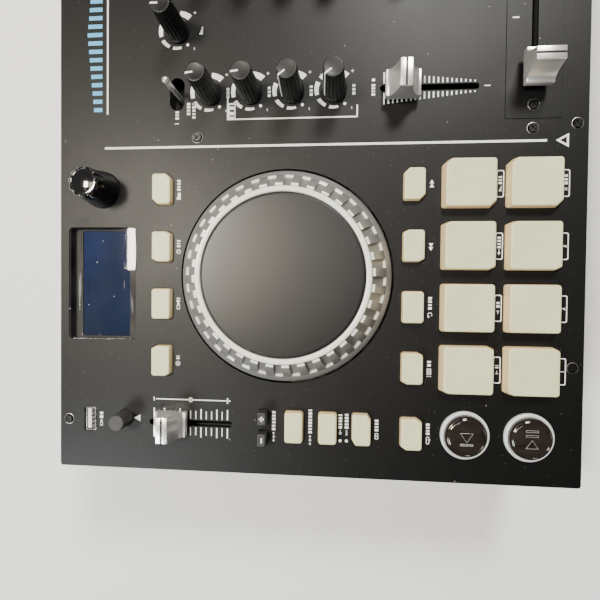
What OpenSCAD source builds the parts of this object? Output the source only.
// Two-deck disc-jockey workstation: top panel, folded tray, jog wheels,
// soft keys, faders, knobs and the parts that carry them under the panel.
// Origin: centre of the footprint, on the table. +X right, +Y rear, +Z up.

/* [Case] */
// Width of the top panel
panel_w = 482.6; // [481:0.2:484]
// Depth of the top panel, front to back
panel_d = 282; // [281:0.5:284]
// Sheet thickness of the top panel
panel_t = 2; // [1.6:0.2:2.4]
// Height of the top surface above the table
panel_z = 80; // [78:1:90]
// Sheet thickness of the folded tray
tray_t = 1.5; // [1.2:0.1:2]
// Height of the rubber feet
foot_h = 10; // [8:1:12]

/* [Decks] */
// Distance between a left deck control and its twin on the right deck
deck_step = 304; // [303:0.5:305]
// Outer radius of the jog wheel where it passes the panel
jog_r = 56.6; // [56:0.1:56.8]
// Height of the jog wheel's top ring above the panel
jog_h = 15.5; // [13:0.5:17]
// Number of finger notches round the jog wheel
jog_notches = 36; // [24:1:40]
// Height of the square pads above the panel
pad_h = 5.3; // [4:0.1:6]
// Height of the small soft keys above the panel
key_h = 3.5; // [2.5:0.1:4]
// Travel of every push key
key_travel = 1.2; // [0.8:0.1:1.3]

/* [Mixer] */
// Distance of a channel's knob column from the centre line
channel_x = 34; // [33:0.5:36]
// Distance between the knobs of a channel
knob_pitch = 22.6; // [22:0.1:23]
// Height of the mixer knobs above the panel
knob_h = 25; // [22:0.5:26]
// Height of a fader cap from its foot to its ridge
cap_h = 15.2; // [14:0.2:16]
// Length of the fader slots
slot_l = 50.8; // [50:0.1:52]

/* [Hidden] */
$fn = 48;

// heights
panel_under = panel_z - panel_t;
tray_inner_z = foot_h + tray_t;
board_top = panel_under - 4.3;
board_t = 1.6;
switch_h = 0.9;

// places on the left deck; the right deck is the same, deck_step further right
jog_pos = [-133.2, 13.2];
jog_hole_r = jog_r + 1.2;
column_x = -84.5;
column_pitch = 32.2;
source_x = -86;
source_pitch = 31.4;
source_y = 81.5;
track_y = -54.4;
pad_rows = [-82.3, -114.7];
edge_x = -215.8;
pitch_keys_x = -214.5;
pitch_keys_y = [7.8, -10.4, -28.4];
bend_x = [-209.2, -220.6];
bend_y = 24.4;
select_pos = [-85.7, 116.8];
window_pos = [-137.8, 116.6];
window_size = [62.6, 39.2];
usb_pos = [-214.3, 123.2];
eject_pos = [-212.9, 102.6];
pitch_slot = [-214.7, 65.3];
pitch_slot_l = 47;
pitch_rest = 10.4;

// places on the mixer
switch_y = 73.8;
knob_y = 55.9;
fader_y = -61.3;
fader_rest = 14;
cross_y = -113.7;
cross_rest = -28;
cross_slot_l = 73;
master_y = 73.8;

// shapes
key_w = 17;
key_d = 11.4;
source_key_d = 10.8;
narrow_key_d = 10.2;
pad_size = [25, 27.6];
pad_taper = [0.3, 1.4];
bend_size = [6.8, 4.6];
round_key_r = 12.6;
dome_r = 10.8;
eject_r = 4.4;
knob_r = 6.3;
knob_top_r = 5.1;
select_r = 10.2;
shaft_r = 3;
key_gap = 0.35;
slot_w = 3.2;
fader_cap = [14, 18.2];
pitch_cap_gap = 0.8;
channel_cap_gap = 3;
cross_cap_gap = 4.5;
screw_r = 2.8;
screw_shank_r = 1.5;
jog_shaft_r = 4;
running_gap = 0.05;
switch_drop = 12;
barrel_r = 2.2;
barrel_l = 5;
barrel_gap = 0.15;
seam = 0.1;

// a corner is cut away more, the further its key is from the plain column
function corner_cut(column, along_x, along_y) =
  [along_x * (2 - column), column == 2 ? 0 : along_y * sign(2 - column)];

pad_cut = [1.5, 4.2];
small_cut = [1.4, 2.9];
deck_screws = [[-179.2, -135.5], [-214.7, 136]];
mixer_screws = [[-54.3, -135.5], [-56.3, -113.6], [-57.7, 62.4]];
plate_size = [102.6, 27.8];
plate_screw_x = 44.5;
foot_pos = [215, 115];
foot_r = 12;

module on_deck(side) { translate([side * deck_step, 0, 0]) children(); }
module both_decks() { for (side = [0, 1]) on_deck(side) children(); }
module both_sides() { for (m = [0, 1]) mirror([m, 0, 0]) children(); }

// ---- outlines ----

module rounded(w, d, r) {
  square([w - 2 * r, d], center = true);
  square([w, d - 2 * r], center = true);
  for (x = [-1, 1], y = [-1, 1]) translate([x * (w / 2 - r), y * (d / 2 - r)]) circle(r);
}

// rounded rectangle with two opposite corners cut; a negative cut.y cuts the other two
module key_outline(w, d, cut, r = 1.6) {
  flip = sign(cut.y);
  a = w / 2;
  b = d / 2;
  intersection() {
    rounded(w, d, r);
    mirror([flip < 0 ? 1 : 0, 0, 0]) polygon([
      [-a + abs(cut.x), -b], [a, -b], [a, b - abs(cut.y)], [a - abs(cut.x), b],
      [-a, b], [-a, -b + abs(cut.y)]]);
  }
}

module slot_shape(length, width) {
  square([width, length - width], center = true);
  for (s = [-1, 1]) translate([0, s * (length - width) / 2]) circle(width / 2);
}

// ---- push keys: cap, neck through the panel and a retaining flange below ----

module key_flange(w, d) {
  flange_t = 1.6;
  translate([0, 0, panel_under - 0.3 - flange_t])
    linear_extrude(flange_t) rounded(w + 2.4, d + 2.4, 1.6);
}

module small_key(w, d, cut) {
  key_flange(w, d);
  translate([0, 0, panel_under - 1]) linear_extrude(panel_t + key_h + 1) key_outline(w, d, cut);
}

// section of a pad that narrows towards its top
module pad_section(width, taper) {
  a = width / 2;
  polygon([[-a, -3], [a, -3], [a, 0.5], [a - taper, pad_h], [-a + taper, pad_h], [-a, 0.5]]);
}

module pad(cut) {
  key_flange(pad_size.x, pad_size.y);
  intersection() {
    translate([0, 0, panel_under - 1])
      linear_extrude(panel_t + pad_h + 1) key_outline(pad_size.x, pad_size.y, cut);
    translate([0, 0, panel_z]) rotate([90, 0, 0])
      linear_extrude(pad_size.y + 2, center = true) pad_section(pad_size.x, pad_taper.x);
    translate([0, 0, panel_z]) rotate([90, 0, 90])
      linear_extrude(pad_size.x + 2, center = true) pad_section(pad_size.y, pad_taper.y);
  }
}

// dark domed centre in a light ring
module round_key() {
  ring_h = 1.4;
  rim_h = 3.3;
  dome_h = 4.8;
  translate([0, 0, panel_under - 1.9]) cylinder(h = 1.6, r = round_key_r + 1.2);
  translate([0, 0, panel_under - 0.8]) cylinder(h = 0.8 + panel_t + ring_h, r = round_key_r);
  translate([0, 0, panel_z]) rotate_extrude() polygon(concat(
    [[0, 0], [dome_r, 0]],
    [for (k = [0:6]) [dome_r * cos(k * 15), rim_h + (dome_h - rim_h) * sin(k * 15)]]));
}

module bend_key() {
  bend_h = 7.2;
  key_flange(bend_size.x, bend_size.y);
  translate([0, 0, panel_under - 1])
    linear_extrude(panel_t + bend_h + 1) rounded(bend_size.x, bend_size.y, 0.6);
}

module eject_key() {
  eject_h = 11.5;
  translate([0, 0, panel_under - 1.9]) cylinder(h = 1.6, r = eject_r + 1.4);
  translate([0, 0, panel_under - 1]) cylinder(h = panel_t + eject_h + 1, r = eject_r);
}

function column_pos(i) = column_x - i * column_pitch;
function source_pos(i) = source_x - i * source_pitch;

module track_key(i) {
  translate([column_pos(i), track_y, 0]) small_key(key_w, key_d, corner_cut(i, small_cut.x, small_cut.y));
}
module source_key(i) {
  translate([source_pos(i), source_y, 0])
    small_key(key_w, source_key_d, corner_cut(i, small_cut.x, -small_cut.y));
}
module pad_key(row, i) {
  translate([column_pos(i), pad_rows[row], 0]) pad(corner_cut(i, pad_cut.x, pad_cut.y));
}
module pitch_key(i) {
  cut = i < 2 ? [0, 0] : [3, -1.9];
  translate([pitch_keys_x, pitch_keys_y[i], 0]) small_key(key_w, narrow_key_d, cut);
}
module repeat_key() { translate([edge_x, track_y, 0]) small_key(key_w, key_d, [2, -small_cut.y]); }
module bend_pair(i) { translate([bend_x[i], bend_y, 0]) bend_key(); }
module transport(row) { translate([edge_x, pad_rows[row], 0]) round_key(); }

// ---- jog wheel ----

// the cone from [outer, low] to [inner, high] carries the finger notches
module jog_wheel() {
  rim = [jog_r - 3.1, 5];
  shoulder = [46.4, jog_h - 1.2];
  ring_out = 46;
  ring_in = 43.3;
  skin = 2.4;
  hub_z = -14;
  notch = 1.5;
  translate([jog_pos.x, jog_pos.y, panel_z]) {
    difference() {
      rotate_extrude($fn = 144) polygon([
        [0, jog_h - 1 - skin], [0, jog_h - 1], [ring_in, jog_h - 1], [ring_in + 0.2, jog_h],
        [ring_out - 0.2, jog_h], [ring_out, shoulder.y + 0.4], [shoulder.x + 1.5, shoulder.y],
        [rim.x, rim.y], [jog_r, 1.6], [jog_r, -4], [jog_r - skin, -4], [jog_r - skin, 0.8],
        [rim.x - skin, rim.y - 1.6], [shoulder.x - skin, shoulder.y - skin]]);
      for (k = [0:jog_notches - 1]) rotate(k * 360 / jog_notches) finger_notch(rim, shoulder, notch);
    }
    translate([0, 0, hub_z]) cylinder(h = jog_h - 2 - hub_z, r = 9);
    translate([0, 0, hub_z - 16]) cylinder(h = 17, r = jog_shaft_r);
  }
}

// one notch: a wedge cut from the cone, with a level step at its foot
module finger_notch(rim, shoulder, notch) {
  half = 180 / jog_notches / 2;
  foot_z = rim.y + 0.3;
  wall_r = shoulder.x + 0.2;
  rotate([90, 0, 0]) linear_extrude(2 * (rim.x - 2) * tan(half), center = true) polygon([
    [rim.x - notch, foot_z], [rim.x + 2, foot_z], [rim.x + 2, jog_h + 1],
    [wall_r, jog_h + 1], [wall_r, shoulder.y - 0.6]]);
}

// ---- knobs, faders and the toggle switch ----

// low skirt and tall ribbed body on a shaft that reaches into the part below
module knob(height) {
  gap = 0.8;
  skirt_h = 1.4;
  skirt_r = knob_r + 0.5;
  grips = 18;
  translate([0, 0, panel_z + gap]) {
    cylinder(h = skirt_h, r = skirt_r);
    difference() {
      cylinder(h = height - gap, r1 = knob_r, r2 = knob_top_r);
      for (k = [0:grips - 1]) rotate((k + 0.5) * 360 / grips)
        translate([knob_r + 0.1, 0, 3]) cylinder(h = height, r = 0.75, $fn = 16);
    }
  }
  translate([0, 0, panel_under - 6]) cylinder(h = 6 + panel_t + gap + 2, r = shaft_r);
}

// smooth body that narrows to a fluted crown
module select_knob() {
  height = 19.5;
  crown_r = 8.1;
  translate([0, 0, panel_z]) rotate_extrude() polygon([
    [0, 0.8], [select_r, 0.8], [select_r - 0.1, 4], [crown_r + 0.3, 14], [crown_r, height - 1],
    [crown_r - 1, height], [crown_r - 2, height - 0.2], [0, height - 1]]);
  translate([0, 0, panel_under - 6]) cylinder(h = 6 + panel_t + 3, r = shaft_r);
}

// hollow-sided cap with a centre ridge, sliding along Y on a flat lever
module fader_cap_shape(half) {
  ridge = 3.2;
  foot = 3.4;
  steps = 8;
  polygon(concat(
    [[-half, 0], [half, 0], [half, foot]],
    [for (k = [0:steps]) let (t = k / steps)
      [half - 0.6 - t * (half - 0.6 - ridge), foot + 0.6 + (cap_h - foot - 1.6) * pow(t, 2.2)]],
    [[ridge, cap_h], [-ridge, cap_h]],
    [for (k = [steps:-1:0]) let (t = k / steps)
      [-half + 0.6 + t * (half - 0.6 - ridge), foot + 0.6 + (cap_h - foot - 1.6) * pow(t, 2.2)]],
    [[-half, foot]]));
}

module slider(at, gap) {
  lever = [1.2, 4];
  translate([at.x, at.y, 0]) {
    translate([0, 0, panel_z + gap]) rotate([90, 0, 90])
      linear_extrude(fader_cap.x, center = true) fader_cap_shape(fader_cap.y / 2);
    translate([-lever.x / 2, -lever.y / 2, panel_under - 8])
      cube([lever.x, lever.y, 8 + panel_t + gap + 3]);
  }
}

// bat lever with a ball end, turning on a pin along Y
module toggle() {
  tip_z = 18.5;
  tip_r = 1.9;
  lever_r = [1.3, 1.6];
  translate([0, 0, panel_z - switch_drop]) {
    rotate([90, 0, 0]) cylinder(h = barrel_l, r = barrel_r, center = true);
    cylinder(h = switch_drop + tip_z - tip_r, r1 = lever_r[0], r2 = lever_r[1]);
    translate([0, 0, switch_drop + tip_z - tip_r]) sphere(r = tip_r);
  }
}

// ---- fixed parts ----

module deck_cutouts() {
  g = 2 * key_gap;
  translate(jog_pos) circle(jog_hole_r, $fn = 144);
  for (i = [0:3]) {
    translate([column_pos(i), track_y])
      key_outline(key_w + g, key_d + g, corner_cut(i, small_cut.x, small_cut.y));
    translate([source_pos(i), source_y])
      key_outline(key_w + g, source_key_d + g, corner_cut(i, small_cut.x, -small_cut.y));
    for (y = pad_rows) translate([column_pos(i), y])
      key_outline(pad_size.x + g, pad_size.y + g, corner_cut(i, pad_cut.x, pad_cut.y));
  }
  translate([edge_x, track_y]) key_outline(key_w + g, key_d + g, [2, -small_cut.y]);
  for (y = pad_rows) translate([edge_x, y]) circle(round_key_r + key_gap);
  for (i = [0:2]) translate([pitch_keys_x, pitch_keys_y[i]])
    key_outline(key_w + g, narrow_key_d + g, i < 2 ? [0, 0] : [3, -1.9]);
  for (x = bend_x) translate([x, bend_y]) rounded(bend_size.x + g, bend_size.y + g, 0.6);
  translate(eject_pos) circle(eject_r + key_gap);
  translate(select_pos) circle(shaft_r + 0.5);
  translate(window_pos) rounded(window_size.x, window_size.y, 2.5);
  translate(usb_pos) rounded(14, 7.4, 0.8);
  translate(pitch_slot) slot_shape(pitch_slot_l, slot_w);
}

module channel_cutouts() {
  translate([channel_x, switch_y]) rotate(90) slot_shape(17.7, 8.2);
  for (i = [0:3]) translate([channel_x, knob_y - i * knob_pitch]) circle(shaft_r + 0.5);
  translate([channel_x, fader_y]) slot_shape(slot_l, slot_w);
}

module screw_hole(at) { translate([at.x, at.y]) circle(screw_shank_r + 0.1); }
module plate_screw_holes() { for (s = [-1, 1]) screw_hole([s * plate_screw_x, cross_y]); }

module top_panel() {
  color([0.13, 0.13, 0.13]) difference() {
    translate([0, 0, panel_under]) linear_extrude(panel_t) difference() {
      rounded(panel_w, panel_d, 1.5);
      for (side = [0, 1]) translate([side * deck_step, 0]) deck_cutouts();
      both_sides() channel_cutouts();
      both_sides() for (at = concat(deck_screws, mixer_screws)) screw_hole(at);
      plate_screw_holes();
      translate([0, master_y]) circle(shaft_r + 0.5);
      translate([0, cross_y]) rotate(90) slot_shape(cross_slot_l + 4, slot_w + 5);
    }
    translate([0, cross_y, panel_z - 1])
      linear_extrude(2) rounded(plate_size.x + 0.4, plate_size.y + 0.4, 0.6);
  }
}

module crossfader_plate() {
  color([0.15, 0.15, 0.15]) translate([0, 0, panel_z - 1]) linear_extrude(1.3) difference() {
    translate([0, cross_y]) rounded(plate_size.x, plate_size.y, 0.6);
    translate([0, cross_y]) rotate(90) slot_shape(cross_slot_l, slot_w);
    plate_screw_holes();
  }
}

disc_slot = [124, 5];
disc_slot_z = 34;
socket_z = 34;
socket_xs = [-150, -128, -84, -62, 20, 42, 86, 108];
inlet_x = 190;
inlet_size = [27.5, 20];
phones_pos = [0, 34];

// a wall of upright plates, with a strip above and below each opening [left, right, low, high]
module pierced_wall(y, half_w, height, openings) {
  count = len(openings);
  for (i = [0:count]) {
    left = i == 0 ? -half_w : openings[i - 1][1] + seam;
    right = i == count ? half_w : openings[i][0] - seam;
    translate([left, y, foot_h]) cube([right - left, tray_t, height]);
  }
  for (o = openings) {
    translate([o[0], y, foot_h]) cube([o[1] - o[0], tray_t, o[2] - foot_h]);
    translate([o[0], y, o[3]]) cube([o[1] - o[0], tray_t, foot_h + height - o[3]]);
  }
}

// sheet-metal tray with hairline seams, open towards the panel
module chassis_tray() {
  w = panel_w - 4;
  d = panel_d - 4;
  wall_h = panel_under - foot_h;
  inner_d = d - 2 * tray_t - 2 * seam;
  slots = [for (x = [jog_pos.x, jog_pos.x + deck_step])
    [x - disc_slot.x / 2, x + disc_slot.x / 2, disc_slot_z, disc_slot_z + disc_slot.y]];
  inlet = [inlet_x - inlet_size.x / 2, inlet_x + inlet_size.x / 2,
    socket_z - inlet_size.y / 2, socket_z + inlet_size.y / 2];
  color([0.16, 0.16, 0.16]) difference() {
    union() {
      pierced_wall(-d / 2, w / 2, wall_h, slots);
      pierced_wall(d / 2 - tray_t, w / 2, wall_h, [inlet]);
      for (x = [-w / 2, w / 2 - tray_t])
        translate([x, -inner_d / 2, foot_h]) cube([tray_t, inner_d, wall_h]);
      translate([-w / 2 + tray_t + seam, -inner_d / 2, foot_h])
        cube([w - 2 * tray_t - 2 * seam, inner_d, tray_t]);
    }
    socket_cuts(d);
  }
}

module socket_cuts(d) {
  for (x = socket_xs) translate([x, d / 2 + 1, socket_z]) rotate([90, 0, 0]) cylinder(h = 4, r = 5);
  translate([phones_pos.x, -d / 2 + 3, phones_pos.y]) rotate([90, 0, 0]) cylinder(h = 4, r = 6);
}

module display_windows() {
  color([0.1, 0.12, 0.16, 0.4]) both_decks() translate([window_pos.x, window_pos.y, panel_under]) {
    linear_extrude(panel_t - 0.1) rounded(window_size.x - 0.1, window_size.y - 0.1, 2.4);
    translate([0, 0, -0.8]) linear_extrude(0.8) rounded(window_size.x + 3, window_size.y + 1.6, 2.4);
  }
}

// display glass on a frame and its board, hung under the panel
module display_modules() {
  glass = [60.4, 28.4];
  frame = [75, 41];
  color([0.08, 0.2, 0.42]) both_decks() translate([window_pos.x, window_pos.y, panel_z]) {
    translate([-frame.x / 2, -frame.y / 2, -9]) cube([frame.x, frame.y, 2.2]);
    translate([-glass.x / 2, -glass.y / 2, -7.4]) cube([glass.x, glass.y, 2.1]);
    for (x = [-1, 1], y = [-1, 1]) translate([x * (frame.x / 2 - 2), y * (frame.y / 2 - 2), -7.4])
      cylinder(h = 7.4 - panel_t, r = 1.6);
  }
}

// bearing housing on a plate that hangs from the panel on four posts
module jog_bearings() {
  plate_z = -27;
  post_at = 66;
  color([0.55, 0.55, 0.57]) both_decks() translate([jog_pos.x, jog_pos.y, panel_z]) difference() {
    union() {
      translate([0, 0, plate_z]) cylinder(h = 2, r = 40);
      for (k = [0:3]) rotate(45 + 90 * k) {
        translate([30, -6, plate_z]) cube([post_at - 26, 12, 2]);
        translate([post_at, 0, plate_z]) cylinder(h = -plate_z - panel_t, r = 3);
      }
      translate([0, 0, plate_z - 5]) cylinder(h = 12, r = 10);
    }
    translate([0, 0, plate_z - 10]) cylinder(h = 40, r = jog_shaft_r + running_gap);
  }
}

// rotary and slide controls fixed under the panel; each shaft or lever enters from above
module rotary_body(at) {
  translate([at.x, at.y, panel_under - 9]) difference() {
    union() {
      translate([-6, -6, 0]) cube([12, 12, 5]);
      cylinder(h = 9, r = 4.4);
    }
    translate([0, 0, 2]) cylinder(h = 9, r = shaft_r + running_gap);
  }
}

module slide_body(at, length = slot_l, turn = 0) {
  body = [9, length + 15, 8];
  translate([at.x, at.y, panel_under - 12]) rotate(turn) difference() {
    translate([-body.x / 2, -body.y / 2, 0]) cube(body);
    translate([-1.6, -length / 2, 2]) cube([3.2, length, body.z]);
  }
}

module toggle_body(at) {
  body = [14, 10, 10];
  ear_t = 0.9;
  translate([at.x, at.y, panel_z - switch_drop]) {
    difference() {
      translate([-body.x / 2, -body.y / 2, -body.z]) cube([body.x, body.y, body.z + 1.4]);
      rotate([90, 0, 0]) cylinder(h = barrel_l + 0.4, r = barrel_r + barrel_gap, center = true);
    }
    for (m = [0, 1]) mirror([0, m, 0])
      translate([-body.x / 2, body.y / 2 - ear_t / 2, 0]) cube([body.x, ear_t, switch_drop - panel_t]);
  }
}

module potentiometers() {
  color([0.5, 0.5, 0.48]) {
    both_decks() rotary_body(select_pos);
    both_decks() slide_body(pitch_slot);
    for (s = [-1, 1]) {
      for (i = [0:3]) rotary_body([s * channel_x, knob_y - i * knob_pitch]);
      slide_body([s * channel_x, fader_y]);
      toggle_body([s * channel_x, switch_y]);
    }
    rotary_body([0, master_y]);
    slide_body([0, cross_y], cross_slot_l, 90);
  }
}

// boards hang under the panel keys, with switches under each key
module key_switch(at) { translate([at.x - 3, at.y - 3, board_top - 0.1]) cube([6, 6, switch_h + 0.1]); }

module deck_board() {
  left = -236;
  right = -68;
  front = -132;
  rear = 90;
  for (at = [[left + 4, front + 4], [left + 4, rear - 4], [right - 3, front + 68], [right - 3, rear - 4]])
    translate([at.x, at.y, board_top - 0.1]) cylinder(h = panel_under - board_top + 0.1, r = 2);
  difference() {
    translate([left, front, board_top - board_t]) cube([right - left, rear - front, board_t]);
    translate([jog_pos.x, jog_pos.y, 0]) cylinder(h = panel_z, r = 72);
    translate([pitch_slot.x - 8, pitch_slot.y - 35, 0]) cube([16, 80, panel_z]);
  }
  for (i = [0:3]) {
    key_switch([column_pos(i), track_y]);
    key_switch([source_pos(i), source_y]);
    for (y = pad_rows) key_switch([column_pos(i), y]);
  }
  for (y = concat(pad_rows, [track_y])) key_switch([edge_x, y]);
  for (y = pitch_keys_y) key_switch([pitch_keys_x, y]);
  for (x = bend_x) key_switch([x, bend_y]);
}

module circuit_boards() {
  color([0.1, 0.35, 0.2]) {
    both_decks() deck_board();
    translate([-100, 60, tray_inner_z + 6]) cube([200, 70, board_t]);
    for (x = [-96, 96], y = [64, 126]) translate([x, y, tray_inner_z]) cylinder(h = 6, r = 3);
  }
}

// slot-loading disc drives behind the front wall: casings of six sheets on four pillars
module disc_drives() {
  body = [130, 150, 24];
  skin = 1;
  lift = 6;
  y0 = -panel_d / 2 + 2 + tray_t + 1;
  slot_low = disc_slot_z - tray_inner_z - lift;
  slot_high = slot_low + disc_slot.y;
  wall_low = skin + seam;
  wall_top = body.z - skin - seam;
  side_d = body.y - 2 * skin - 2 * seam;
  color([0.6, 0.6, 0.62]) both_decks() translate([jog_pos.x - body.x / 2, y0, tray_inner_z + lift]) {
    for (z = [0, body.z - skin]) translate([0, 0, z]) cube([body.x, body.y, skin]);
    for (x = [0, body.x - skin])
      translate([x, skin + seam, wall_low]) cube([skin, side_d, wall_top - wall_low]);
    translate([0, body.y - skin, wall_low]) cube([body.x, skin, wall_top - wall_low]);
    translate([0, 0, wall_low]) cube([body.x, skin, slot_low - wall_low]);
    translate([0, 0, slot_high]) cube([body.x, skin, wall_top - slot_high]);
    for (x = [8, body.x - 8], y = [12, 138]) translate([x, y, -lift]) cylinder(h = lift - seam, r = 4);
  }
}

module power_supply() {
  color([0.7, 0.7, 0.7]) translate([150, 62, tray_inner_z]) {
    cube([82, 62, 2]);
    translate([4, 4, 2]) cube([34, 40, 28]);
    translate([44, 8, 2]) cube([26, 30, 20]);
    translate([60, 46, 2]) cylinder(h = 24, r = 7);
  }
}

// sockets: a data socket in each deck, phono sockets and mains inlet at the rear, phones at the front
module usb_socket() {
  shell = [13.1, 5.8, 12];
  translate([usb_pos.x, usb_pos.y, panel_z - 0.4 - shell.z]) {
    difference() {
      translate([-shell.x / 2, -shell.y / 2, 0]) cube(shell);
      translate([-shell.x / 2 + 0.4, -shell.y / 2 + 0.4, 1]) cube([shell.x - 0.8, shell.y - 0.8, shell.z]);
    }
    translate([-5.6, 0.1, 0.5]) cube([11.2, 1.9, 10.3]);
  }
}

module connectors() {
  wall_y = panel_d / 2 - 2;
  color([0.75, 0.75, 0.75]) {
    both_decks() usb_socket();
    for (x = socket_xs) translate([x, wall_y, socket_z]) rotate([-90, 0, 0]) difference() {
      translate([0, 0, -14]) union() {
        cylinder(h = 15.4, r = 4.15, $fn = 32);
        translate([-6, -6, 0]) cube([12, 12, 12.5]);
      }
      translate([0, 0, -8]) cylinder(h = 12, r = 1.6, $fn = 16);
    }
    translate([inlet_x - inlet_size.x / 2, wall_y - 20, socket_z - inlet_size.y / 2]) inlet_shell();
    translate([phones_pos.x, -wall_y, phones_pos.y]) rotate([90, 0, 0]) difference() {
      translate([0, 0, -26]) union() {
        cylinder(h = 27.4, r = 5.8);
        translate([-8, -8, 0]) cube([16, 16, 24.5]);
      }
      translate([0, 0, -22]) cylinder(h = 26, r = 3.3);
    }
  }
}

module inlet_shell() {
  size = [inlet_size.x, 20.5, inlet_size.y];
  back = 5;
  wall = 1.4;
  pin = [2, 13, 4];
  cube([size.x, back - seam, size.z]);
  for (x = [0, size.x - wall]) translate([x, back, 0]) cube([wall, size.y - back, size.z]);
  for (z = [0, size.z - wall])
    translate([wall + seam, back, z]) cube([size.x - 2 * wall - 2 * seam, size.y - back, wall]);
  for (k = [-1, 0, 1])
    translate([size.x / 2 + k * 7 - pin.x / 2, back, size.z / 2 - 2 + (k == 0 ? 2 : 0)]) cube(pin);
}

module screw_head(at, z = panel_z) {
  translate([at.x, at.y, z]) difference() {
    union() {
      cylinder(h = 1.2, r1 = screw_r, r2 = screw_r - 0.6);
      translate([0, 0, -panel_t]) cylinder(h = panel_t, r = screw_shank_r);
    }
    for (turn = [45, 135]) rotate(turn) translate([-1.7, -0.35, 0.6]) cube([3.4, 0.7, 1]);
  }
}

module panel_screws() {
  color([0.08, 0.08, 0.08]) {
    for (at = concat(deck_screws, mixer_screws)) both_sides() screw_head(at);
    for (s = [-1, 1]) screw_head([s * plate_screw_x, cross_y], panel_z + 0.3);
  }
}

module feet() {
  color([0.07, 0.07, 0.07]) for (x = [-1, 1], y = [-1, 1])
    translate([x * foot_pos.x, y * foot_pos.y, 0]) cylinder(h = foot_h, r1 = foot_r - 1.5, r2 = foot_r);
}

// ---- colours of the moving parts ----

module soft() { color([0.86, 0.84, 0.73]) children(); }
module dark() { color([0.1, 0.1, 0.1]) children(); }
module metal() { color([0.72, 0.72, 0.7]) children(); }

module channel_knob(s, i) { dark() translate([s * channel_x, knob_y - i * knob_pitch, 0]) knob(knob_h); }
module channel_slider(s) { metal() slider([s * channel_x, fader_y + fader_rest], channel_cap_gap); }
module channel_switch(s) { metal() translate([s * channel_x, switch_y, 0]) toggle(); }
module pitch_slider() { metal() slider([pitch_slot.x, pitch_slot.y + pitch_rest], pitch_cap_gap); }

top_panel();
chassis_tray();
crossfader_plate();
display_windows();
display_modules();
jog_bearings();
potentiometers();
circuit_boards();
disc_drives();
power_supply();
connectors();
panel_screws();
feet();

metal() jog_wheel();  // jog_wheel_a
dark() translate([select_pos.x, select_pos.y, 0]) select_knob();  // select_knob_a
pitch_slider();  // pitch_slider_a
dark() translate([eject_pos.x, eject_pos.y, 0]) eject_key();  // eject_button_a
dark() bend_pair(0);  // bend_up_key_a
dark() bend_pair(1);  // bend_down_key_a
soft() pitch_key(0);  // pitch_range_key_a
soft() pitch_key(1);  // search_key_a
soft() pitch_key(2);  // single_key_a
soft() repeat_key();  // repeat_key_a
soft() track_key(0);  // track_next_key_a
soft() track_key(1);  // track_back_key_a
soft() track_key(2);  // reloop_key_a
soft() track_key(3);  // program_key_a
soft() source_key(0);  // folder_key_a
soft() source_key(1);  // time_key_a
soft() source_key(2);  // usb_key_a
soft() source_key(3);  // disc_key_a
soft() pad_key(0, 0);  // brake_pad_a
soft() pad_key(0, 1);  // reverse_pad_a
soft() pad_key(0, 2);  // loop_out_pad_a
soft() pad_key(0, 3);  // loop_in_pad_a
soft() pad_key(1, 0);  // delete_pad_a
soft() pad_key(1, 1);  // sample_pad_3_a
soft() pad_key(1, 2);  // sample_pad_2_a
soft() pad_key(1, 3);  // sample_pad_1_a
dark() transport(0);  // cue_button_a
dark() transport(1);  // play_button_a

channel_switch(-1);  // input_switch_1
channel_knob(-1, 0);  // gain_knob_1
channel_knob(-1, 1);  // high_knob_1
channel_knob(-1, 2);  // mid_knob_1
channel_knob(-1, 3);  // low_knob_1
channel_slider(-1);  // channel_fader_1
metal() translate([cross_rest, cross_y, 0]) rotate(90) slider([0, 0], cross_cap_gap);  // crossfader
channel_switch(1);  // input_switch_2
channel_knob(1, 0);  // gain_knob_2
channel_knob(1, 1);  // high_knob_2
channel_knob(1, 2);  // mid_knob_2
channel_knob(1, 3);  // low_knob_2
channel_slider(1);  // channel_fader_2
dark() translate([0, master_y, 0]) knob(knob_h);  // master_knob

on_deck(1) metal() jog_wheel();  // jog_wheel_b
on_deck(1) dark() translate([select_pos.x, select_pos.y, 0]) select_knob();  // select_knob_b
on_deck(1) pitch_slider();  // pitch_slider_b
on_deck(1) soft() {  // soft_keys_b
  for (i = [0:3]) {
    track_key(i);
    source_key(i);
    pad_key(0, i);
    pad_key(1, i);
  }
  for (i = [0:2]) pitch_key(i);
  repeat_key();
}
on_deck(1) dark() {  // hard_keys_b
  bend_pair(0);
  bend_pair(1);
  transport(0);
  transport(1);
  translate([eject_pos.x, eject_pos.y, 0]) eject_key();
}
